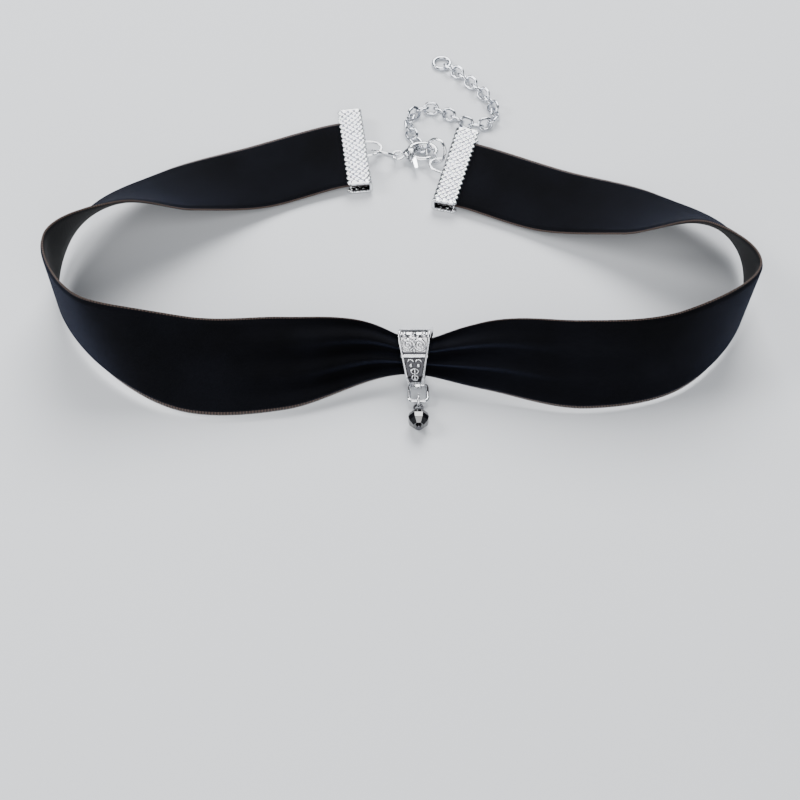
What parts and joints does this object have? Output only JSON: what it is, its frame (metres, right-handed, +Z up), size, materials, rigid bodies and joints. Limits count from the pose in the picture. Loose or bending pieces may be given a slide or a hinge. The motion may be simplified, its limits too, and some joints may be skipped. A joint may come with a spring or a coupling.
{
  "type": "choker necklace",
  "caption": "Black velvet ribbon choker lying open on its side, with ribbon clamps, lobster clasp, extension chain, and a faceted drop on an ornate bail.",
  "frame": {"origin": "centre of the choker's bounding box, at its base on the table", "axes": "+X across the choker, +Y from the drop at the front towards the clasp at the back, +Z up from the table"},
  "size_m": [0.1304, 0.0974, 0.0197],
  "materials": {
    "velvet": "cut pile velvet, deep black with a cool sheen",
    "plated_metal": "bright silver-coloured plating, lightly worn",
    "black_glass": "opaque black, faceted and polished"
  },
  "bodies": {
    "choker": {"ribbon": "velvet", "clamp_left": "plated_metal", "clamp_right": "plated_metal", "ring_left": "plated_metal", "clasp_body": "plated_metal", "clasp_pin": "plated_metal", "ring_right": "plated_metal", "chain_link_first": "plated_metal", "chain": "plated_metal", "end_ring": "plated_metal", "bail": "plated_metal", "u_link": "plated_metal", "drop_ring": "plated_metal", "drop_pin": "plated_metal", "drop_bead": "black_glass"},
    "lever": {"clasp_lever": "plated_metal"}
  },
  "joints": [
    {"name": "lever_turn", "type": "hinge", "parent": "choker", "child": "lever", "pos_m": [0.00201, 0.01822, 0.0016], "axis": [0, 0, 1], "range_deg": [0, 18], "stiffness_Nm_per_rad": 0.0002, "springref_deg": -11.46}
  ]
}
